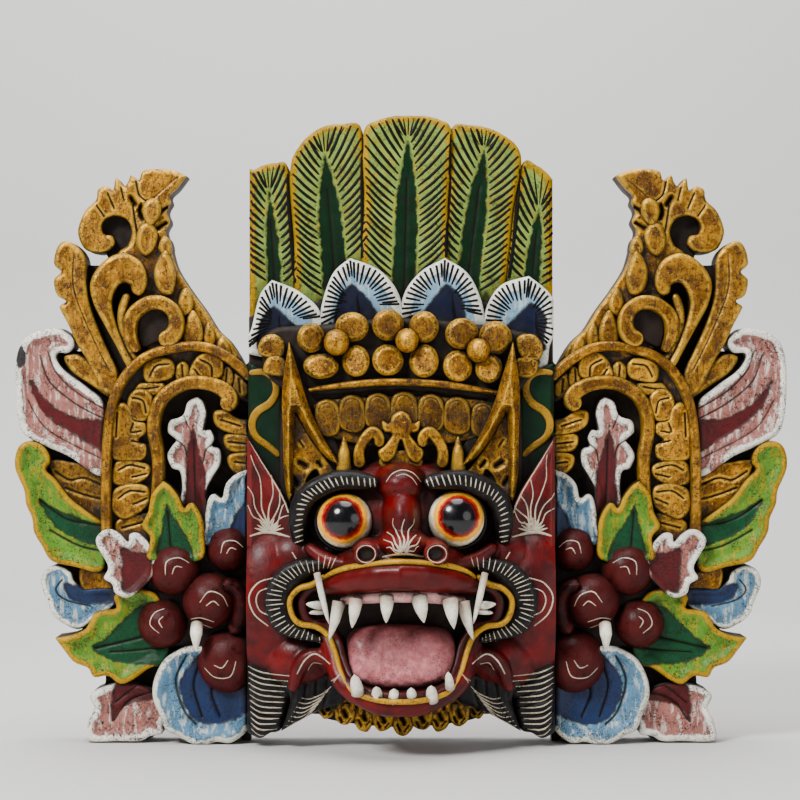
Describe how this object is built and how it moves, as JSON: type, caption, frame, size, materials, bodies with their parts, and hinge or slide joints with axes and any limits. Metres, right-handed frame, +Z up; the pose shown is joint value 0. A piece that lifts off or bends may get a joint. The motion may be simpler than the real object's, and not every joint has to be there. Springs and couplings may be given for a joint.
{
  "type": "barong mask",
  "caption": "Carved wooden mask of a mythical beast with bulging eyes, open jaws, feather crown and carved side wings.",
  "frame": {"origin": "middle of the part's footprint, on the surface that it stands on", "axes": "+Z up, +X to the right across the wings as seen from the front, -Y out of the face, +Y towards the flat back"},
  "size_m": [0.621, 0.1318, 0.5043],
  "materials": {
    "head_paint": "semi-gloss maroon lacquer on carved wood, with worn edges",
    "wing_gilding": "antique gold paint on carved wood, dark in the recesses"
  },
  "bodies": {
    "root": {"mask": "head_paint", "wing_left": "wing_gilding", "wing_right": "wing_gilding"}
  },
  "joints": []
}
